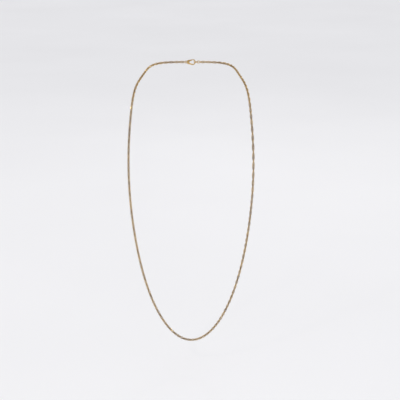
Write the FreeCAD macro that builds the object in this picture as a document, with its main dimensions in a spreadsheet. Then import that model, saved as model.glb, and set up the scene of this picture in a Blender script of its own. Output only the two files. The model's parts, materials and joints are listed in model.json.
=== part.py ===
# A long gold-coloured chain necklace of twisted curb links, closed at the nape by a lobster clasp.
# Millimetres, +Z up, the wearer faces -Y. The origin is on the nape of the neck, where the
# necklace is held: the chain runs forward over both shoulders and its front loop hangs in one
# upright plane. Each link is its own solid, hooked through its two neighbours with clearance.
import FreeCAD, Part
import Sketcher
import math
import os
import re
from FreeCAD import Placement, Rotation, Vector

doc = FreeCAD.newDocument("chain_necklace")
sheet = doc.addObject("Spreadsheet::Sheet", "sizes")

drivingSizes = [
    # chain link: the wire's centreline is a saddle-shaped ring, twisted about the chain's axis
    ("linkHalfLength", 1.08),
    ("linkHalfWidth", 1.08),
    ("linkTwist", 25.0),
    ("wireRadius", 0.30),
    ("linkPlay", 0.12),
    # numbers of links: one at the bottom centre, the rest in mirrored pairs
    ("linksEachSide", 259),
    ("linksBottomHalf", 13),
    ("linksPerSlice", 14),
    ("sliceCount", 11),
    ("neckNodesEachSide", 3),
    # how far each link is turned from the one before it, in degrees
    ("twistTight", 68.0),
    ("twistMiddle", 46.0),
    ("twistLoose", 28.0),
    # the route
    ("loopHalfWidth", 60.3),
    ("collarHalfWidth", 57.7),
    ("collarDrop", 43.0),
    ("neckHalfWidth", 46.6),
    ("neckDepth", 83.3),
    ("skinGap", 1.3),
    # rings between the chain and the clasp
    ("jumpRingRadius", 1.3),
    ("jumpWireRadius", 0.30),
    ("hookRingRadius", 2.1),
    ("hookWireRadius", 0.40),
    ("ringPlay", 0.15),
    # lobster clasp: places are measured from the centre of its eye towards its nose
    ("claspThickness", 2.0),
    ("claspHeelRadius", 2.0),
    ("claspHeelPlace", 2.6),
    ("claspNoseRadius", 3.0),
    ("claspNosePlace", 6.9),
    ("mouthHeelRadius", 1.2),
    ("mouthHeelPlace", 4.7),
    ("mouthNoseRadius", 1.9),
    ("mouthNosePlace", 7.1),
    ("eyeRadius", 1.35),
    ("eyeHoleRadius", 0.75),
    ("eyeThickness", 1.1),
    ("pivotPlace", 2.8),
    ("pivotHeight", 0.9),
    ("hubRadius", 0.8),
    ("leverTipPlace", 6.7),
    ("leverTipHeight", 2.35),
    ("leverTipRadius", 0.45),
    ("leverThickness", 1.0),
    ("leverPlay", 0.06),
    ("ridgePlace", 2.7),
    ("ridgeHeight", 0.5),
    ("ridgeRadius", 0.38),
    ("ridgeLength", 1.6),
    ("pinRadius", 0.35),
    ("pinPlay", 0.03),
    ("springRadius", 0.60),
    ("springStrip", 0.14),
    ("springWidth", 0.8),
    ("springOpening", 80.0),
    ("springGap", 0.05),
    ("hubGap", 0.3),
    ("edgeRound", 0.3),
]
for row, (alias, value) in enumerate(drivingSizes, start=1):
    sheet.set("A%d" % row, alias)
    sheet.set("B%d" % row, str(value))
    sheet.setAlias("B%d" % row, alias)
doc.recompute()


def size(alias):
    return getattr(sheet, alias)


def bind(target, **rules):
    """Bind an object's sizes to the sheet, with the aliases written bare."""
    aliases = "|".join(alias for alias, _ in drivingSizes)
    for prop, rule in rules.items():
        target.setExpression(prop, re.sub(r"\b(%s)\b" % aliases, r"sizes.\1", rule))


subParts = []


def subPart(target, label, place=None):
    target.Label = label
    if place is not None:
        target.Placement = place
    subParts.append(target)
    return target


# The link

def bentWire(start, tangent, end, radius):
    """Round wire along the one arc that leaves start along tangent and reaches end."""
    chord = end - start
    axis = tangent.cross(chord)
    inward = axis.cross(tangent)
    inward.normalize()
    bend = chord.dot(chord) / (2 * inward.dot(chord))
    centre = start + inward * bend
    angle = 2 * math.degrees(math.asin(chord.Length / (2 * bend)))
    section = Part.Face(Part.Wire(Part.makeCircle(radius, start, tangent)))
    return section.revolve(centre, axis, angle)


def twoArcs(start, leaving, end, arriving, radius):
    """Two tangent arcs of wire from start to end, with the given directions at the ends."""
    across = end - start
    both = leaving + arriving
    square = 2 * (1 - leaving.dot(arriving))
    reach = (math.sqrt(across.dot(both) ** 2 + square * across.dot(across)) - across.dot(both)) / square
    meet = (start + end + (leaving - arriving) * reach) * 0.5
    first = bentWire(start, leaving, meet, radius)
    second = bentWire(end, arriving * -1, meet, radius)
    return [first, second]


def makeLink():
    """A saddle-shaped ring of eight arcs: its bows are turned against each other about X."""
    length, width = size("linkHalfLength"), size("linkHalfWidth")
    twist = math.radians(size("linkTwist"))
    bow, side = Vector(length, 0, 0), Vector(0, width, 0)
    atBow = Vector(0, math.cos(twist), -math.sin(twist))
    lift = math.atan(width * twist / length)
    atSide = Vector(-math.cos(lift), 0, math.sin(lift))
    quarter = twoArcs(bow, atBow, side, atSide, size("wireRadius"))
    pieces = []
    for axis in (None, Vector(1, 0, 0), Vector(0, 1, 0), Vector(0, 0, 1)):
        for piece in quarter:
            turned = piece.copy()
            if axis is not None:
                turned.rotate(Vector(0, 0, 0), axis, 180)
            pieces.append(turned)
    link = pieces[0].multiFuse(pieces[1:])
    return link.Solids[0]


link = makeLink()
linkPitch = 2 * size("linkHalfLength") - 2 * size("wireRadius") - size("linkPlay")

# The route

# Control points of the smooth curve from the nape over the shoulder, as (share of the way out from
# the neck's half width to the collar's, share of the neck's depth, share of the collar's drop).
neckOutline = [(-2.0, 0.0, 0.0), (-0.45, 0.107, 0.0), (-0.02, 0.522, 0.13), (0.77, 0.807, 0.33),
               (0.89, 1.0, 0.725), (1.0, 1.0, 1.0)]

# Control points of the front loop's curve, from the collar to the bottom, as (share of the drop,
# share of the half width). The first lies straight on from the curve above.
loopOutline = [(0.084, 0.99), (0.305, 1.047), (0.813, 0.769), (1.0, 0.278), (1.0, 0.0)]


def seatDepth(ringRadius, wireRadius, thickness):
    """How far a round ring stands off a flat wall of this thickness that it passes round."""
    inside = ringRadius - wireRadius
    return inside - math.sqrt(inside ** 2 - (thickness / 2) ** 2) + size("ringPlay")


jumpInside = size("jumpRingRadius") - size("jumpWireRadius")
hookInside = size("hookRingRadius") - size("hookWireRadius")
eyeSeat = seatDepth(size("jumpRingRadius"), size("jumpWireRadius"), size("eyeThickness"))
noseSeat = seatDepth(size("hookRingRadius"), size("hookWireRadius"), size("claspThickness"))
eyeToNose = size("eyeHoleRadius") + size("mouthNosePlace") + size("mouthNoseRadius")
claspHalf = (eyeToNose + 4 * jumpInside + 2 * hookInside - 2 * size("linkPlay") - eyeSeat - noseSeat) / 2
chainBack = size("skinGap")
loopPlane = chainBack - size("neckDepth")


def halfRoute(drop):
    """Points close together along the right half of the necklace, from the clasp to the bottom."""
    neck, collar = size("neckHalfWidth"), size("collarHalfWidth")
    depth, fall = size("neckDepth"), size("collarDrop")
    overNeck = [Vector(claspHalf, chainBack, 0)]
    for across, forward, down in neckOutline:
        overNeck.append(Vector(neck + (collar - neck) * across, chainBack - depth * forward, -fall * down))
    loop = [overNeck[-1]]
    for down, out in loopOutline:
        loop.append(Vector(size("loopHalfWidth") * out, loopPlane, -fall - drop * down))
    upper, lower = Part.BSplineCurve(), Part.BSplineCurve()
    upper.buildFromPoles(overNeck, False, 3)
    lower.buildFromPoles(loop, False, 3)
    step = linkPitch / 20
    points = []
    for curve in (upper, lower):
        count = int(curve.length() / step)
        points += curve.discretize(Number=count)[:-1]
    return points + [loop[-1]]


def contactsAlong(points, count):
    """Where neighbouring links touch: equal straight steps of one pitch along the route."""
    place, index, found = points[0], 1, [points[0]]
    while len(found) <= count:
        while index < len(points) and (points[index] - place).Length < linkPitch:
            index += 1
        if index == len(points):
            outward = points[-1] - points[-2]
            outward.normalize()
            place = place + outward * linkPitch
        else:
            near, far = points[index - 1], points[index]
            low, high = 0.0, 1.0
            for _ in range(30):
                middle = (low + high) / 2
                if (near + (far - near) * middle - place).Length < linkPitch:
                    low = middle
                else:
                    high = middle
            place = near + (far - near) * low
        found.append(place)
    return found


def solveDrop():
    """How low the loop hangs, so that the bottom link is centred and every link is the same."""
    low, high = 60.0, 900.0
    for _ in range(40):
        drop = (low + high) / 2
        end = contactsAlong(halfRoute(drop), size("linksEachSide"))[-1]
        if end.x > linkPitch / 2:
            high = drop
        else:
            low = drop
    return drop


# The links in place

linksEachSide = int(size("linksEachSide"))
loopDrop = solveDrop()
contacts = contactsAlong(halfRoute(loopDrop), linksEachSide)[::-1]
hingeLinks = [int(size("linksBottomHalf") + size("linksPerSlice") * i) for i in range(int(size("sliceCount")) + 1)]
neckLinks = linksEachSide - hingeLinks[-1]


def stepTurn(side, index):
    """How far link number index on this side is turned from the one below it, in degrees."""
    tight, middle, loose = size("twistTight"), size("twistMiddle"), size("twistLoose")
    if side < 0:
        stations = [(0, tight), (1, tight), (1.2, middle)]
    else:
        stations = [(0, tight), (0.3, middle), (0.7, middle), (0.82, loose), (0.96, loose), (1.04, middle)]
    share = index / hingeLinks[-1]
    for (start, low), (end, high) in zip(stations, stations[1:]):
        if share <= end:
            return low + (high - low) * (share - start) / (end - start)
    return stations[-1][1]


def linkPlaces(side):
    """The placement of each link on one side, from the one beside the bottom link to the clasp."""
    spots = [Vector(side * p.x, p.y, p.z) for p in contacts]
    tangents = [(b - a).normalize() for a, b in zip(spots, spots[1:])]
    along, across = Vector(side, 0, 0), Vector(0, 1, 0)
    frames, rolls, roll = [], [], 0.0
    for index, tangent in enumerate(tangents, start=1):
        across = Rotation(along, tangent).multVec(across)
        along = tangent
        roll += stepTurn(side, index)
        frames.append((tangent, across))
        rolls.append(roll)
    # the last bow stands square to the ring that it holds, so the neck links share out the rest
    wanted = Vector(0, 0, 1) if side < 0 else Vector(0, 1, 0)
    tangent, across = frames[-1]
    third = tangent.cross(across)
    target = math.degrees(math.atan2(wanted.dot(third), wanted.dot(across))) + size("linkTwist")
    rest = (target - rolls[-1] + 90) % 180 - 90
    places = []
    for index, ((tangent, across), roll) in enumerate(zip(frames, rolls), start=1):
        share = max(0, index - hingeLinks[-1]) / neckLinks
        angle = math.radians(roll + rest * share)
        third = tangent.cross(across)
        upright = across * math.cos(angle) + third * math.sin(angle)
        turn = Rotation(tangent, upright, tangent.cross(upright), "XYZ")
        places.append(Placement((spots[index - 1] + spots[index]) * 0.5, turn))
    return places


def chainPiece(label, places):
    """A run of separate links in one node."""
    links = []
    for place in places:
        copy = link.copy()
        copy.Placement = place
        links.append(copy)
    target = doc.addObject("Part::Feature", label)
    target.Shape = Part.Compound(links)
    return subPart(target, label)


leftLinks, rightLinks = linkPlaces(-1), linkPlaces(1)
bottomPlace = Placement(Vector(0, contacts[0].y, contacts[0].z), Rotation())
first = hingeLinks[0]
chainPiece("bottom_links", leftLinks[:first] + [bottomPlace] + rightLinks[:first])
for number, (low, high) in enumerate(zip(hingeLinks, hingeLinks[1:])):
    fromTop = int(size("sliceCount")) - number
    chainPiece("left_strand_%02d" % fromTop, leftLinks[low:high])
    chainPiece("right_strand_%02d" % fromTop, rightLinks[low:high])
neckNodes = int(size("neckNodesEachSide"))
neckCuts = [hingeLinks[-1] + round(neckLinks * i / neckNodes) for i in range(neckNodes + 1)]
for name, (low, high) in zip(("collar", "shoulder", "nape"), zip(neckCuts, neckCuts[1:])):
    chainPiece("left_%s_links" % name, leftLinks[low:high])
    chainPiece("right_%s_links" % name, rightLinks[low:high])

# The clasp's rings

leftJumpPlace = -claspHalf + jumpInside - size("linkPlay") / 2
rightJumpPlace = -leftJumpPlace
hookRingPlace = rightJumpPlace - jumpInside - hookInside + size("linkPlay")
eyeCentre = leftJumpPlace + jumpInside - eyeSeat + size("eyeHoleRadius")


def ring(label, radius, wire, place, standing):
    """A round wire ring, lying flat or standing on edge along the chain."""
    target = doc.addObject("Part::Torus", label)
    bind(target, Radius1=radius, Radius2=wire)
    turn = Rotation(Vector(1, 0, 0), 90 if standing else 0)
    subPart(target, label, Placement(Vector(place, chainBack, 0), turn))


ring("left_jump_ring", "jumpRingRadius", "jumpWireRadius", leftJumpPlace, False)
ring("right_jump_ring", "jumpRingRadius", "jumpWireRadius", rightJumpPlace, True)
ring("hook_ring", "hookRingRadius", "hookWireRadius", hookRingPlace, False)

# The lobster clasp


def flatSketch(body, name):
    """A sketch on the body's own X-Z plane: its X runs along the chain and its Y upwards."""
    sketch = body.newObject("Sketcher::SketchObject", name)
    plane = [f for f in body.Origin.OriginFeatures if f.Role == "XZ_Plane"][0]
    sketch.AttachmentSupport = [(plane, "")]
    sketch.MapMode = "FlatFace"
    return sketch


def held(sketch, kind, parts, value, rule):
    """A dimension in a sketch, bound to the sheet."""
    index = sketch.addConstraint(Sketcher.Constraint(kind, *parts, value))
    bind(sketch, **{"Constraints[%d]" % index: rule})


def circleAt(sketch, radius, across=None, up=None):
    """A circle at the sketch's origin, or across and up from it. Sizes are (value, rule) pairs."""
    centre = Vector(across[0] if across else 0, up[0] if up else 0, 0)
    index = sketch.addGeometry(Part.Circle(centre, Vector(0, 0, 1), radius[0]))
    held(sketch, "Radius", (index,), *radius)
    if across is None:
        sketch.addConstraint(Sketcher.Constraint("Coincident", index, 3, -1, 1))
    else:
        held(sketch, "DistanceX", (-1, 1, index, 3), *across)
        held(sketch, "DistanceY", (-1, 1, index, 3), *up)


def taperedSlot(sketch, heelPlace, heelRadius, nosePlace, noseRadius):
    """An outline of two round ends joined by straight tangents. Sizes are (value, rule) pairs."""
    heelX = heelPlace[0] if heelPlace else 0
    lean = math.asin((noseRadius[0] - heelRadius[0]) / (nosePlace[0] - heelX))
    top, out = math.pi / 2 + lean, Vector(0, 0, 1)
    ends = []
    for x, radius in ((heelX, heelRadius[0]), (nosePlace[0], noseRadius[0])):
        rise = Vector(-math.sin(lean), math.cos(lean), 0) * radius
        ends.append((Vector(x, 0, 0), radius, Vector(x, 0, 0) + rise, Vector(x + rise.x, -rise.y, 0)))
    (heel, heelR, heelTop, heelLow), (nose, noseR, noseTop, noseLow) = ends
    items = [
        Part.ArcOfCircle(Part.Circle(heel, out, heelR), top, 2 * math.pi - top),
        Part.LineSegment(heelLow, noseLow),
        Part.ArcOfCircle(Part.Circle(nose, out, noseR), -top, top),
        Part.LineSegment(noseTop, heelTop),
    ]
    first = sketch.addGeometry(items)[0]
    for step in range(4):
        joint = (first + step, 2, first + (step + 1) % 4, 1)
        sketch.addConstraint(Sketcher.Constraint("Tangent", *joint))
    for index in (first, first + 2):
        if index == first and heelPlace is None:
            sketch.addConstraint(Sketcher.Constraint("Coincident", index, 3, -1, 1))
        else:
            sketch.addConstraint(Sketcher.Constraint("PointOnObject", index, 3, -1))
    held(sketch, "Radius", (first,), *heelRadius)
    held(sketch, "Radius", (first + 2,), *noseRadius)
    if heelPlace:
        held(sketch, "DistanceX", (-1, 1, first, 3), *heelPlace)
    held(sketch, "DistanceX", (-1, 1, first + 2, 3), *nosePlace)


def rectangle(sketch, left, right, top, bottom=None):
    """An upright rectangle that starts on the X axis, or reaches down to bottom below it."""
    low = -bottom[0] if bottom else 0
    corners = [(left[0], low), (right[0], low), (right[0], top[0]), (left[0], top[0])]
    spots = [Vector(x, y, 0) for x, y in corners]
    lines = [Part.LineSegment(a, b) for a, b in zip(spots, spots[1:] + spots[:1])]
    first = sketch.addGeometry(lines)[0]
    for step in range(4):
        joint = (first + step, 2, first + (step + 1) % 4, 1)
        sketch.addConstraint(Sketcher.Constraint("Coincident", *joint))
        kind = "Vertical" if step % 2 else "Horizontal"
        sketch.addConstraint(Sketcher.Constraint(kind, first + step))
    held(sketch, "DistanceX", (-1, 1, first, 1), *left)
    held(sketch, "DistanceX", (-1, 1, first, 2), *right)
    held(sketch, "DistanceY", (-1, 1, first + 2, 1), *top)
    if bottom:
        held(sketch, "DistanceY", (first, 1, -1, 1), *bottom)
    else:
        sketch.addConstraint(Sketcher.Constraint("PointOnObject", first, 1, -1))


def named(alias):
    return size(alias), alias


def extrude(body, kind, name, sketch, length):
    """A pad or pocket of this length, half to each side of the sketch's plane."""
    feature = body.newObject("PartDesign::" + kind, name)
    feature.Profile = sketch
    feature.Midplane = True
    bind(feature, Length=length)
    sketch.Visibility = False
    doc.recompute()
    return feature


def cutAway(body, name, sketch, length):
    """A pocket that must take material away."""
    before = body.Shape.Volume
    extrude(body, "Pocket", name, sketch, length)
    if body.Shape.Volume > before - 1e-3:
        raise RuntimeError(name + " cuts nothing")


def claspPlacement(across=0.0, up=0.0, angle=0.0):
    return Placement(Vector(eyeCentre + across, chainBack, up), Rotation(Vector(0, 1, 0), angle))


leverReach = size("leverTipPlace") - size("pivotPlace")
leverRise = size("leverTipHeight") - size("pivotHeight")
leverLength = (math.hypot(leverReach, leverRise),
               "sqrt((leverTipPlace - pivotPlace) ^ 2 + (leverTipHeight - pivotHeight) ^ 2)")
gateStart = (size("pivotPlace") + size("hubRadius") + size("hubGap"), "pivotPlace + hubRadius + hubGap")


def makeClaspBody():
    body = doc.addObject("PartDesign::Body", "clasp_body")
    sketch = flatSketch(body, "claspOutline")
    taperedSlot(sketch, named("claspHeelPlace"), named("claspHeelRadius"),
                named("claspNosePlace"), named("claspNoseRadius"))
    pad = extrude(body, "Pad", "claspBlock", sketch, "claspThickness")
    flats = [i for i, face in enumerate(pad.Shape.Faces, start=1) if abs(face.normalAt(0, 0).y) > 0.99
             and isinstance(face.Surface, Part.Plane)]
    rounding = body.newObject("PartDesign::Fillet", "claspRounding")
    rounding.Base = (pad, ["Face%d" % i for i in flats])
    bind(rounding, Radius="edgeRound")
    doc.recompute()
    sketch = flatSketch(body, "eyeOutline")
    circleAt(sketch, named("eyeRadius"))
    extrude(body, "Pad", "eyeTab", sketch, "eyeThickness")
    sketch = flatSketch(body, "eyeHoleOutline")
    circleAt(sketch, named("eyeHoleRadius"))
    cutAway(body, "eyeHole", sketch, "claspThickness")
    sketch = flatSketch(body, "mouthOutline")
    taperedSlot(sketch, named("mouthHeelPlace"), named("mouthHeelRadius"),
                named("mouthNosePlace"), named("mouthNoseRadius"))
    cutAway(body, "mouth", sketch, "claspThickness")
    above = (2 * size("claspNoseRadius"), "2 * claspNoseRadius")
    # the gate's far side clears the lever's tip until the tip has swung below it
    swing = leverLength[0] + size("leverTipRadius")
    swingUnder = math.sqrt(swing ** 2 - (size("mouthNoseRadius") - size("pivotHeight")) ** 2)
    gateEnd = (size("pivotPlace") + swingUnder + size("leverPlay"),
               "pivotPlace + leverPlay + sqrt((%s + leverTipRadius) ^ 2 - (mouthNoseRadius - pivotHeight) ^ 2)"
               % leverLength[1])
    sketch = flatSketch(body, "gateOutline")
    rectangle(sketch, gateStart, gateEnd, above)
    cutAway(body, "gateGap", sketch, "claspThickness")
    slotStart = (size("pivotPlace") - size("hubRadius") - size("hubGap"), "pivotPlace - hubRadius - hubGap")
    slotEnd = (gateStart[0] + size("leverPlay"), "pivotPlace + hubRadius + hubGap + leverPlay")
    slotDepth = (springCentreDepth() + size("springRadius") + size("springGap"),
                 "hubRadius + 2 * springRadius + 2 * springGap - pivotHeight")
    sketch = flatSketch(body, "slotOutline")
    rectangle(sketch, slotStart, slotEnd, above, slotDepth)
    cutAway(body, "leverSlot", sketch, "leverThickness + 2 * leverPlay")
    sketch = flatSketch(body, "pinHoleOutline")
    circleAt(sketch, named("pinRadius"), named("pivotPlace"), named("pivotHeight"))
    cutAway(body, "pinHole", sketch, "claspThickness")
    subPart(body, "clasp_body", claspPlacement())


def springCentreDepth():
    """How far the spring's centre lies below the clasp's centre line."""
    return size("hubRadius") + size("springRadius") + size("springGap") - size("pivotHeight")


def makeLever():
    body = doc.addObject("PartDesign::Body", "clasp_lever")
    sketch = flatSketch(body, "leverOutline")
    taperedSlot(sketch, None, named("hubRadius"), leverLength, named("leverTipRadius"))
    extrude(body, "Pad", "leverBar", sketch, "leverThickness")
    sketch = flatSketch(body, "ridgeOutline")
    circleAt(sketch, named("ridgeRadius"), named("ridgePlace"), named("ridgeHeight"))
    extrude(body, "Pad", "thumbRidge", sketch, "ridgeLength")
    sketch = flatSketch(body, "leverHoleOutline")
    circleAt(sketch, (size("pinRadius") + size("pinPlay"), "pinRadius + pinPlay"))
    cutAway(body, "leverHole", sketch, "leverThickness")
    tilt = -math.degrees(math.atan2(leverRise, leverReach))
    subPart(body, "clasp_lever", claspPlacement(size("pivotPlace"), size("pivotHeight"), tilt))


def cylinder(name, radius, height):
    target = doc.addObject("Part::Cylinder", name)
    bind(target, Radius=radius, Height=height)
    return target


def makePin():
    pin = cylinder("clasp_pin", "pinRadius", "claspThickness")
    base = Vector(eyeCentre + size("pivotPlace"), chainBack - size("claspThickness") / 2, size("pivotHeight"))
    subPart(pin, "clasp_pin", Placement(base, Rotation(Vector(1, 0, 0), -90)))


def makeSpring():
    """A strip of spring steel bent into a C, in the slot under the lever's hub."""
    outer = cylinder("springOuter", "springRadius", "springWidth")
    inner = cylinder("springInner", "springRadius - springStrip", "springWidth")
    for target in (outer, inner):
        bind(target, Angle="360 - springOpening")
    spring = doc.addObject("Part::Cut", "clasp_spring")
    spring.Base, spring.Tool = outer, inner
    base = Vector(eyeCentre + size("pivotPlace"), chainBack - size("springWidth") / 2, -springCentreDepth())
    turn = Rotation(Vector(1, 0, 0), -90).multiply(Rotation(Vector(0, 0, 1), size("springOpening") / 2))
    subPart(spring, "clasp_spring", Placement(base, turn))


makeClaspBody()
makeLever()
makePin()
makeSpring()

# Checks and files

doc.recompute()
for item in doc.Objects:
    if "Invalid" in item.State or "Error" in item.State:
        raise RuntimeError("%s failed: %s" % (item.Name, item.State))
labels = [item.Label for item in subParts]
if len(set(labels)) != len(labels):
    raise RuntimeError("two sub-parts share a name")
os.makedirs("parts", exist_ok=True)
for item in subParts:
    shape = item.Shape
    if shape.isNull() or not shape.isValid():
        raise RuntimeError(item.Label + " has no valid shape")
    shape.exportStep("parts/%s.step" % item.Label)

hinges = [contacts[i] for i in reversed(hingeLinks)]
print("links %d, chain %.1f mm, clasp %.1f mm" % (
    2 * linksEachSide + 1, (2 * linksEachSide + 1) * linkPitch, 2 * claspHalf))
print("loop drop %.3f mm" % loopDrop)
for index, place in enumerate(hinges, start=1):
    print("hinge %02d at y %.4f z %.4f, half width %.3f" % (index, place.y, place.z, place.x))
print("clasp roll axis y %.4f z 0" % chainBack)
pivot = claspPlacement(size("pivotPlace"), size("pivotHeight")).Base
print("lever pivot at x %.4f y %.4f z %.4f" % (pivot.x, pivot.y, pivot.z))
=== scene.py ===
# A long gold-coloured chain of twisted curb links, closed at the nape by a lobster clasp.
# Metres, +Z up, the wearer faces -Y. Every link is rebuilt finer where the frame holds its solid.
import bmesh
import bpy
import json
import math
import random
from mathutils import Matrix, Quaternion, Vector
import numpy as np


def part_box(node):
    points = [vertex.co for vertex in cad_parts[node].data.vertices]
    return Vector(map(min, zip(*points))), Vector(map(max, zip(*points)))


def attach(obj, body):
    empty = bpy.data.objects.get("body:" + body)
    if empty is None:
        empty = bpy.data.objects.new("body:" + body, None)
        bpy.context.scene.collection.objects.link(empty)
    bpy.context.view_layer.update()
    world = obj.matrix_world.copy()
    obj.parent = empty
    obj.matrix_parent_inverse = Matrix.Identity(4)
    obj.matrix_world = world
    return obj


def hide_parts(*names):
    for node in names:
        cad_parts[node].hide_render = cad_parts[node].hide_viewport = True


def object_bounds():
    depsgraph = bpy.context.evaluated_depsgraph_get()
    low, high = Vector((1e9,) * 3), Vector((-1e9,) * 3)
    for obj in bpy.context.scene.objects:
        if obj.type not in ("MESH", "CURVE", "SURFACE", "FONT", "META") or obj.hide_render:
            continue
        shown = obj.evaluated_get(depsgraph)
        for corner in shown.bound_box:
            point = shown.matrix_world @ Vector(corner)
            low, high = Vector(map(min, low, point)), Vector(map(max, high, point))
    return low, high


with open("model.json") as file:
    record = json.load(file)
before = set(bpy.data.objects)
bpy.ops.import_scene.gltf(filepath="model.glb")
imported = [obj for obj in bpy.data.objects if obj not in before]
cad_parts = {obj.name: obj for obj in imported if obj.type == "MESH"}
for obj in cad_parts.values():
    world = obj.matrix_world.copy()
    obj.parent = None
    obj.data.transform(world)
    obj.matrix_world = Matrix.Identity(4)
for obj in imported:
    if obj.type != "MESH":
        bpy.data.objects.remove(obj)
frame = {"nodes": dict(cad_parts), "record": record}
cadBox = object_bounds()
scene = bpy.context.scene
nodes = frame["nodes"]
bodyOf = {node: body for body, members in frame["record"]["behaviour"]["bodies"].items() for node in members}
chainNodes = sorted(name for name in nodes if "_links" in name or "_strand_" in name)
millimetre = 0.001


# Materials

# A material and its shader, with the shader's plain values set on its own sockets.
def nodeTree(name, finish):
    material = bpy.data.materials.new(name)
    material.use_nodes = True
    tree = material.node_tree
    shader = tree.nodes["Principled BSDF"]
    for socket, value in finish.items():
        shader.inputs[socket].default_value = value
    return material, tree, shader


# Adds a node. Inputs are values, or sockets to link from.
def addNode(tree, kind, inputs=None, **settings):
    node = tree.nodes.new(kind)
    for key, value in settings.items():
        setattr(node, key, value)
    for key, value in (inputs or {}).items():
        if isinstance(value, bpy.types.NodeSocket):
            tree.links.new(value, node.inputs[key])
        else:
            node.inputs[key].default_value = value
    return node


# A colour ramp with these (place, colour) stops.
def rampNode(tree, source, stops):
    ramp = addNode(tree, "ShaderNodeValToRGB", {"Fac": source})
    elements = ramp.color_ramp.elements
    while len(elements) < len(stops):
        elements.new(0.5)
    for element, (place, colour) in zip(elements, stops):
        element.position = place
        element.color = (*colour, 1)
    return ramp.outputs["Color"]


# One sum or product of numbers or sockets.
def mathNode(tree, operation, *values):
    node = addNode(tree, "ShaderNodeMath", operation=operation)
    for slot, value in zip(node.inputs, values):
        if isinstance(value, bpy.types.NodeSocket):
            tree.links.new(value, slot)
        else:
            slot.default_value = value
    return node.outputs[0]


# Noise over the row frame, scale in cycles a metre, stretched if asked.
def noiseNode(tree, place, scale, detail=3.0, stretch=None):
    if stretch:
        place = addNode(tree, "ShaderNodeMapping", {"Vector": place, "Scale": stretch}).outputs[0]
    settings = {"Vector": place, "Scale": scale, "Detail": detail}
    return addNode(tree, "ShaderNodeTexNoise", settings).outputs["Fac"]


goldLook = {
    "bright": (0.80, 0.55, 0.235),
    "deep": (0.31, 0.18, 0.052),
    # near-black for the hollows: painted shade, with tarnish
    "shadeAndTarnish": (0.035, 0.02, 0.008),
    "toneSize": 260,  # this and the next three are cycles a metre
    "cloudSize": 900,
    "scratchSize": 5200,
    "grainSize": 14000,
    "driftShare": 0.6,  # how much of the tone drifts along the chain
    "linkShare": 0.4,  # how much of the tone is each link's own
    "deepAt": 0.38,
    "brightAt": 0.75,
    "evenShade": 0.45,  # painted shade everywhere in a hollow
    "soilPatchy": 0.8,  # soil that comes in patches
    "soilDulls": 0.35,  # roughness that full soil adds
    "grainShare": 0.4,
    "scratchStretch": (1.0, 1.0, 0.12),
    "reliefDepth": 0.02 * millimetre,
}


# Worn gold plate: tone drifts along the chain and from link to link, and painted shade and soil darken the
# hollows.
def goldMaterial(name, roughness, bump, shadeAndSoil, shine):
    material, tree, shader = nodeTree(name, {"Metallic": 1.0})
    place = addNode(tree, "ShaderNodeTexCoord").outputs["Object"]
    drift = noiseNode(tree, place, goldLook["toneSize"])
    cloud = noiseNode(tree, place, goldLook["cloudSize"], detail=5.0)
    tone = addNode(tree, "ShaderNodeAttribute", attribute_name="linkTone").outputs["Fac"]
    drifting = mathNode(tree, "MULTIPLY", drift, goldLook["driftShare"])
    ownTone = mathNode(tree, "MULTIPLY", tone, goldLook["linkShare"])
    stops = [(goldLook["deepAt"] - shine, goldLook["deep"]), (goldLook["brightAt"] - shine, goldLook["bright"])]
    plate = rampNode(tree, mathNode(tree, "ADD", drifting, ownTone), stops)
    # the hollow mask darkens towards the chain's axis: painted shade, with patchy soil on top
    hollow = addNode(tree, "ShaderNodeAttribute", attribute_name="hollow").outputs["Fac"]
    patches = mathNode(tree, "MULTIPLY", cloud, goldLook["soilPatchy"])
    hollowShadeAndDirt = mathNode(tree, "MULTIPLY", hollow, mathNode(tree, "ADD", patches, goldLook["evenShade"]))
    paintedShadeAndSoil = mathNode(tree, "MULTIPLY", hollowShadeAndDirt, shadeAndSoil)
    blend = addNode(tree, "ShaderNodeMix", data_type="RGBA", clamp_factor=True)
    tree.links.new(paintedShadeAndSoil, blend.inputs["Factor"])
    tree.links.new(plate, blend.inputs["A"])
    blend.inputs["B"].default_value = (*goldLook["shadeAndTarnish"], 1)
    tree.links.new(blend.outputs["Result"], shader.inputs["Base Color"])
    smooth, dull = roughness
    spread = {"Value": cloud, "From Min": 0.3, "From Max": 0.7, "To Min": smooth, "To Max": dull}
    rough = addNode(tree, "ShaderNodeMapRange", spread).outputs[0]
    rougher = mathNode(tree, "ADD", rough, mathNode(tree, "MULTIPLY", paintedShadeAndSoil, goldLook["soilDulls"]))
    tree.links.new(rougher, shader.inputs["Roughness"])
    grain = noiseNode(tree, place, goldLook["grainSize"], detail=2.0)
    scratch = noiseNode(tree, place, goldLook["scratchSize"], detail=4.0, stretch=goldLook["scratchStretch"])
    relief = mathNode(tree, "ADD", mathNode(tree, "MULTIPLY", grain, goldLook["grainShare"]), scratch)
    press = {"Height": relief, "Strength": bump, "Distance": goldLook["reliefDepth"]}
    tree.links.new(addNode(tree, "ShaderNodeBump", press).outputs["Normal"], shader.inputs["Normal"])
    return material


# roughness where clean and where dull, strength of the relief, painted shade and soil in the hollows, and shift
# towards the bright tone
goldFinishes = {
    "wireGold": {"roughness": (0.16, 0.32), "bump": 0.25, "shadeAndSoil": 0.8, "shine": 0.08},
    # the diamond cuts' paler base tone (higher shine) is a painted highlight
    "cutGold": {"roughness": (0.05, 0.13), "bump": 0.10, "shadeAndSoil": 0.15, "shine": 0.28},
    "castGold": {"roughness": (0.14, 0.26), "bump": 0.30, "shadeAndSoil": 0.8, "shine": 0.28},
    "springGold": {"roughness": (0.22, 0.38), "bump": 0.35, "shadeAndSoil": 0.6, "shine": 0.24},
}
golds = {name: goldMaterial(name, **finish) for name, finish in goldFinishes.items()}
print("materials ready")


# Reading the frame's links

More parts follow.
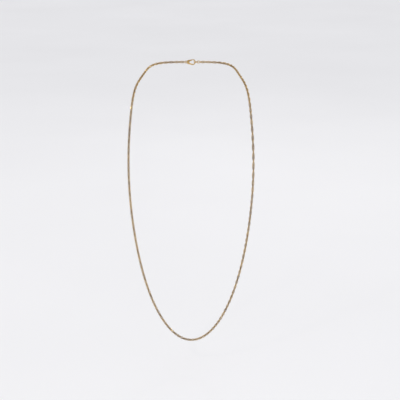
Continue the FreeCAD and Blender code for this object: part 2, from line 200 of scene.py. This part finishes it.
# The closed shells of a CAD mesh, each as an array of triangles' corner positions.
def looseParts(mesh):
    count = len(mesh.vertices)
    spots = np.empty(count * 3)
    mesh.vertices.foreach_get("co", spots)
    spots = spots.reshape(count, 3)
    mesh.calc_loop_triangles()
    corners = np.empty(len(mesh.loop_triangles) * 3, dtype=int)
    mesh.loop_triangles.foreach_get("vertices", corners)
    triangles = corners.reshape(-1, 3)
    steps = np.round(spots / (millimetre * 1e-4)).astype(int)  # corners this close are one corner
    _, merged = np.unique(steps, axis=0, return_inverse=True)
    joined = merged.ravel()[triangles]
    label = np.arange(joined.max() + 1)
    settled = False
    while not settled:
        lowest = label[joined].min(axis=1)
        grown = label.copy()
        for corner in range(3):
            np.minimum.at(grown, joined[:, corner], lowest)
        grown = grown[grown]
        settled = bool((grown == label).all())
        label = grown
    owner = label[joined[:, 0]]
    return [spots[triangles[owner == mark]] for mark in np.unique(owner)]


# Centre of a saddle-shaped link, its axes as columns (along, across, square) and its wire's radius.
def shellFacts(shell):
    edgeA, edgeB = shell[:, 1] - shell[:, 0], shell[:, 2] - shell[:, 0]
    twice = np.cross(edgeA, edgeB)
    area = np.linalg.norm(twice, axis=1)
    middles = shell.mean(axis=1)
    centre = (middles * area[:, None]).sum(axis=0) / area.sum()
    spread = middles - centre
    volume = abs((spread * twice).sum()) / 6
    _, axes = np.linalg.eigh((spread * area[:, None]).T @ spread)
    square, level = axes[:, 0], axes[:, 2]
    side = np.cross(square, level)
    # a saddle rises between its axes, so its third moment shows which way the chain runs
    saddle = (area * (spread @ square) * (spread @ level + 1j * (spread @ side)) ** 2).sum()
    lean = (np.angle(saddle) + math.pi / 2) / 2
    along = level * math.cos(lean) + side * math.sin(lean)
    turn = np.stack([along, np.cross(square, along), square], axis=1)
    return centre, turn, float(4 * volume / area.sum())


# One link, made once and copied

linkLook = {
    "stationsPerQuarter": 12,
    "sides": 14,
    "cutDepth": 0.07 * millimetre,  # how far the diamond cuts go into the outer sides
    "cutAngles": (-34, 0, 34),  # degrees about the chain's axis
    "seamStation": 10,  # where the soldered joint is, counted from the bow
    "seamDepth": 0.05,  # the joint's groove, as a share of the wire's radius
    "hollowReach": 1.2,  # painted shade and soil are thickest at the chain's axis and fade towards its rim
    "hollowFall": 1.3,
}


# Points on the one arc that leaves start along a direction and reaches end, without its last point.
def arcPoints(start, leaving, end, count):
    chord = end - start
    axis = leaving.cross(chord)
    inward = axis.cross(leaving).normalized()
    bend = chord.dot(chord) / (2 * inward.dot(chord))
    centre = start + inward * bend
    angle = 2 * math.asin(chord.length / (2 * bend))
    return [centre + Quaternion(axis, angle * step / count) @ (start - centre) for step in range(count)]


# Centreline of the saddle-shaped ring: four like quarters from bow to side, each of two tangent arcs.
def wireLine(length, width, twist):
    lift = math.atan(width * twist / length)
    bow, side = Vector((length, 0, 0)), Vector((0, width, 0))
    leaving = Vector((0, math.cos(twist), -math.sin(twist)))
    arriving = Vector((-math.cos(lift), 0, math.sin(lift)))
    across, both = side - bow, leaving + arriving
    square = 2 * (1 - leaving.dot(arriving))
    reach = (math.sqrt(across.dot(both) ** 2 + square * across.dot(across)) - across.dot(both)) / square
    meet = (bow + side + (leaving - arriving) * reach) / 2
    count = linkLook["stationsPerQuarter"] // 2
    fromSide = arcPoints(side, -arriving, meet, count) + [meet]
    quarter = arcPoints(bow, leaving, meet, count) + fromSide[::-1]
    back = [Vector((-p.x, p.y, -p.z)) for p in reversed(quarter[1:])]
    half = quarter[:-1] + back
    return half + [Vector((-p.x, -p.y, p.z)) for p in half]


# The twist, in radians, that gives the wire this half height.
def saddleTwist(length, width, radius, height):
    low, high = 0.02, 1.0
    while high - low > 1e-4:
        twist = (low + high) / 2
        line = wireLine(length, width, twist)
        tall = 0.0
        for index, spot in enumerate(line):
            rise = (line[(index + 1) % len(line)] - line[index - 1]).normalized().z
            tall = max(tall, spot.z + radius * math.sqrt(1 - rise ** 2))
        if tall < height:
            low = twist
        else:
            high = twist
    return twist


# Sweeps a round section along a closed line whose middle is the origin.
def tube(bm, line, radius, sides, seamAt, seamDepth):
    rings = []
    count = len(line)
    for index, spot in enumerate(line):
        tangent = (line[(index + 1) % count] - line[index - 1]).normalized()
        outward = (spot - tangent * spot.dot(tangent)).normalized()
        upward = tangent.cross(outward)
        size = radius * (1 - seamDepth) if index == seamAt else radius
        rings.append([bm.verts.new(spot + size * (outward * math.cos(turn) + upward * math.sin(turn)))
                      for turn in (2 * math.pi * (step + 0.5) / sides for step in range(sides))])
    for near, far in zip(rings, rings[1:] + rings[:1]):
        for step in range(sides):
            bm.faces.new((near[step], near[step - 1], far[step - 1], far[step]))


# Slices off what stands beyond a plane and closes the cut with one flat face.
def cutFlat(bm, outward, distance):
    geometry = bm.verts[:] + bm.edges[:] + bm.faces[:]
    cut = bmesh.ops.bisect_plane(bm, geom=geometry, plane_co=outward * distance, plane_no=outward,
                                 clear_outer=True)
    rim = [item for item in cut["geom_cut"] if isinstance(item, bmesh.types.BMEdge)]
    for face in bmesh.ops.edgeloop_fill(bm, edges=rim)["faces"]:
        face.smooth = False
        face.normal_update()
        if face.normal.dot(outward) < 0:
            face.normal_flip()


# Corner positions, faces, flat marks and hollow depth of one link, in its own axes.
def makeLink(shell):
    centre, turn, radius = shellFacts(shell)
    local = (shell.reshape(-1, 3) - centre) @ turn
    length, width = (float(np.abs(local[:, axis]).max()) - radius for axis in (0, 1))
    twist = saddleTwist(length, width, radius, float(np.abs(local[:, 2]).max()))
    line = wireLine(length, width, twist)
    bm = bmesh.new()
    tube(bm, line, radius, linkLook["sides"], linkLook["seamStation"], linkLook["seamDepth"])
    for face in bm.faces:
        face.smooth = True
    for side in (1, -1):
        for angle in linkLook["cutAngles"]:
            lean = math.radians(angle)
            outward = Vector((0, side * math.cos(lean), side * math.sin(lean)))
            far = max(spot.dot(outward) for spot in line) + radius
            cutFlat(bm, outward, far - linkLook["cutDepth"])
    bm.verts.index_update()
    corners = np.array([vert.co for vert in bm.verts])
    faces = [[vert.index for vert in face.verts] for face in bm.faces]
    flat = [not face.smooth for face in bm.faces]
    bm.free()
    # the hollow mask: painted shade and soil, darkest at the chain's axis
    rim = np.hypot(corners[:, 1], corners[:, 2]) / (width + radius)
    hollow = np.clip(linkLook["hollowReach"] - linkLook["hollowFall"] * rim, 0, 1)
    print("link", round(length / millimetre, 3), round(width / millimetre, 3),
          "wire", round(radius / millimetre, 3), "twist", round(math.degrees(twist), 1), "faces", len(faces))
    return corners, faces, flat, hollow


# One piece that holds a run of separate links, where the CAD node has them.
def makeRun(node, pattern, toneSource):
    corners, faces, flat, hollow = pattern
    allCorners, allFaces, tones = [], [], []
    for shell in looseParts(nodes[node].data):
        centre, turn, _ = shellFacts(shell)
        offset = len(corners) * len(allCorners)
        allCorners.append(corners @ turn.T + centre)
        allFaces += [[index + offset for index in face] for face in faces]
        tones += [toneSource.random()] * len(corners)
    count = len(allCorners)
    mesh = bpy.data.meshes.new(node + "_wire")
    mesh.from_pydata(np.concatenate(allCorners), [], allFaces)
    mesh.materials.append(golds["wireGold"])
    mesh.materials.append(golds["cutGold"])
    mesh.polygons.foreach_set("use_smooth", [not mark for mark in flat] * count)
    mesh.polygons.foreach_set("material_index", [int(mark) for mark in flat] * count)
    mesh.attributes.new("linkTone", "FLOAT", "POINT").data.foreach_set("value", tones)
    mesh.attributes.new("hollow", "FLOAT", "POINT").data.foreach_set("value", np.tile(hollow, count))
    mesh.update()
    piece = bpy.data.objects.new(node + "_wire", mesh)
    scene.collection.objects.link(piece)
    standIn(piece, node)
    return count


# The piece stands for the CAD node and rides on its body.
def standIn(piece, node):
    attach(piece, bodyOf[node])
    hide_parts(node)


toneSource = random.Random(7)
linkPattern = makeLink(looseParts(nodes["bottom_links"].data)[0])
linkCount = sum(makeRun(node, linkPattern, toneSource) for node in chainNodes)
print("links made", linkCount)


# The rings

ringLook = {
    "stations": 72,
    "sides": 18,
    "seamHalf": 0.014,  # half the butt joint's width, in radians round the ring
    "seamDepth": 0.24,  # the joint's groove, as a share of the wire's radius
    "seamTurn": 0.9,  # where the joint is, in radians round the ring
}


# A round wire ring with a fine butt joint, lying as the CAD node lies.
def makeRing(node):
    low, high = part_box(node)
    spans = [high[axis] - low[axis] for axis in range(3)]
    square = spans.index(min(spans))
    first, second = [axis for axis in range(3) if axis != square]
    radius = spans[square] / 2
    reach = spans[first] / 2 - radius
    step = 2 * math.pi / ringLook["stations"]
    half = ringLook["seamHalf"]
    turns = [0, half] + [step * index for index in range(1, ringLook["stations"])] + [2 * math.pi - half]
    line = []
    for turn in turns:
        spot = Vector((0, 0, 0))
        spot[first] = reach * math.cos(turn + ringLook["seamTurn"])
        spot[second] = reach * math.sin(turn + ringLook["seamTurn"])
        line.append(spot)
    bm = bmesh.new()
    tube(bm, line, radius, ringLook["sides"], 0, ringLook["seamDepth"])
    bmesh.ops.recalc_face_normals(bm, faces=bm.faces)
    for face in bm.faces:
        face.smooth = True
    mesh = bpy.data.meshes.new(node + "_wire")
    bm.to_mesh(mesh)
    bm.free()
    mesh.materials.append(golds["castGold"])
    piece = bpy.data.objects.new(node + "_wire", mesh)
    piece.location = (Vector(low) + Vector(high)) / 2
    scene.collection.objects.link(piece)
    standIn(piece, node)


for node in ("left_jump_ring", "right_jump_ring", "hook_ring"):
    makeRing(node)
print("rings made")


# The clasp

castLook = {
    "voxel": 0.07,  # millimetres; the grain of the cast shape
    "smoothPasses": 6,
    "weld": 1e-7,  # metres; corners this close are one corner
}


# A softened copy of a machined CAD shape, as if cast and tumbled.
def makeCasting(node):
    mesh = nodes[node].data.copy()
    bm = bmesh.new()
    bm.from_mesh(mesh)
    bmesh.ops.transform(bm, matrix=nodes[node].matrix_world, verts=bm.verts)
    bmesh.ops.remove_doubles(bm, verts=bm.verts, dist=castLook["weld"])
    bmesh.ops.scale(bm, vec=(1 / millimetre,) * 3, verts=bm.verts)
    bm.to_mesh(mesh)
    bm.free()
    rough = bpy.data.objects.new(node + "_rough", mesh)
    scene.collection.objects.link(rough)
    shape = rough.modifiers.new("grain", "REMESH")
    shape.mode, shape.voxel_size, shape.use_smooth_shade = "VOXEL", castLook["voxel"], True
    soften = rough.modifiers.new("soften", "SMOOTH")
    soften.iterations = castLook["smoothPasses"]
    done = bpy.data.meshes.new_from_object(rough.evaluated_get(bpy.context.evaluated_depsgraph_get()))
    bpy.data.objects.remove(rough)
    bpy.data.meshes.remove(mesh)
    bm = bmesh.new()
    bm.from_mesh(done)
    bmesh.ops.scale(bm, vec=(millimetre,) * 3, verts=bm.verts)
    for face in bm.faces:
        face.smooth = True
    bm.to_mesh(done)
    bm.free()
    done.materials.clear()
    done.materials.append(golds["castGold"])
    piece = bpy.data.objects.new(node + "_cast", done)
    scene.collection.objects.link(piece)
    standIn(piece, node)
    print(piece.name, "faces", len(done.polygons))


for node in ("clasp_body", "clasp_lever"):
    makeCasting(node)
for node, material in (("clasp_pin", golds["castGold"]), ("clasp_spring", golds["springGold"])):
    nodes[node].data.materials.clear()
    nodes[node].data.materials.append(material)
print("clasp finished")


# Stage, light and camera

stageLook = {
    "floorDrop": 26 * millimetre,  # how far the floor lies below the chain's foot
    "floorSize": 16.0,
    "floorColour": (0.86, 0.86, 0.87),
    "floorShade": 0.97,  # how much darker its darker patches are
    "floorPatch": 2.0,  # cycles a metre
    "floorRoughness": 0.7,
    "horizonColour": (0.55, 0.55, 0.56),
    "skyColour": (1.0, 1.0, 1.02),
    "horizonAt": 0.02,  # heights on the dome, from 0 at the horizon to 1 overhead
    "skyAt": 0.42,
    "worldStrength": 0.95,
}
cameraLook = {"target": (8.7, -82.0, -122.5), "distance": 1003.0,  # millimetres
              "elevation": 16.0, "fieldOfView": 22.0}  # degrees
lights = [  # name, place in metres, size, watts, colour
    ("keyLight", (-0.75, -1.05, 0.95), 0.10, 2.8, (1.0, 0.97, 0.93)),
    ("fillLight", (1.10, -0.60, 0.35), 0.20, 0.8, (0.93, 0.96, 1.0)),
    ("rimLight", (0.25, 0.95, 0.70), 0.20, 1.2, (1.0, 0.98, 0.95)),
]


def makeFloor():
    material, tree, shader = nodeTree("paleFloor", {"Specular IOR Level": 0.15})
    spot = addNode(tree, "ShaderNodeTexCoord").outputs["Object"]
    cloud = noiseNode(tree, spot, stageLook["floorPatch"])
    pale = stageLook["floorColour"]
    shaded = [tone * stageLook["floorShade"] for tone in pale]
    tree.links.new(rampNode(tree, cloud, [(0.3, shaded), (0.7, pale)]), shader.inputs["Base Color"])
    shader.inputs["Roughness"].default_value = stageLook["floorRoughness"]
    bm = bmesh.new()
    bmesh.ops.create_grid(bm, x_segments=8, y_segments=8, size=stageLook["floorSize"] / 2)
    mesh = bpy.data.meshes.new("floor")
    bm.to_mesh(mesh)
    bm.free()
    mesh.materials.append(material)
    floor = bpy.data.objects.new("floor", mesh)
    floor.location.z = cadBox[0].z - stageLook["floorDrop"]
    scene.collection.objects.link(floor)


def makeLights():
    world = bpy.data.worlds.new("studio")
    scene.world = world
    world.use_nodes = True
    tree = world.node_tree
    sky = tree.nodes["Background"]
    sky.inputs["Strength"].default_value = stageLook["worldStrength"]
    toSky = addNode(tree, "ShaderNodeTexCoord").outputs["Generated"]
    height = addNode(tree, "ShaderNodeSeparateXYZ", {"Vector": toSky})
    shades = [(stageLook["horizonAt"], stageLook["horizonColour"]),
              (stageLook["skyAt"], stageLook["skyColour"])]
    tree.links.new(rampNode(tree, height.outputs["Z"], shades), sky.inputs["Color"])
    scene.view_settings.view_transform = "Standard"
    aim = Vector((0, cadBox[0].y / 2, cadBox[0].z / 2))
    for name, spot, size, watts, colour in lights:
        lamp = bpy.data.lights.new(name, "AREA")
        lamp.size, lamp.energy, lamp.color = size, watts, colour
        holder = bpy.data.objects.new(name, lamp)
        holder.location = spot
        holder.rotation_euler = (aim - Vector(spot)).to_track_quat("-Z", "Y").to_euler()
        scene.collection.objects.link(holder)


def makeCamera():
    target = Vector(cameraLook["target"]) * millimetre
    rise = math.radians(cameraLook["elevation"])
    back = Vector((0, -math.cos(rise), math.sin(rise)))
    lens = bpy.data.cameras.new("camera")
    lens.angle = math.radians(cameraLook["fieldOfView"])
    lens.clip_start, lens.clip_end = 0.05, 40
    camera = bpy.data.objects.new("camera", lens)
    camera.location = target + back * cameraLook["distance"] * millimetre
    camera.rotation_euler = (-back).to_track_quat("-Z", "Y").to_euler()
    scene.collection.objects.link(camera)
    bpy.context.scene.camera = camera


makeFloor()
makeLights()
makeCamera()
print("stage, lights and camera ready")
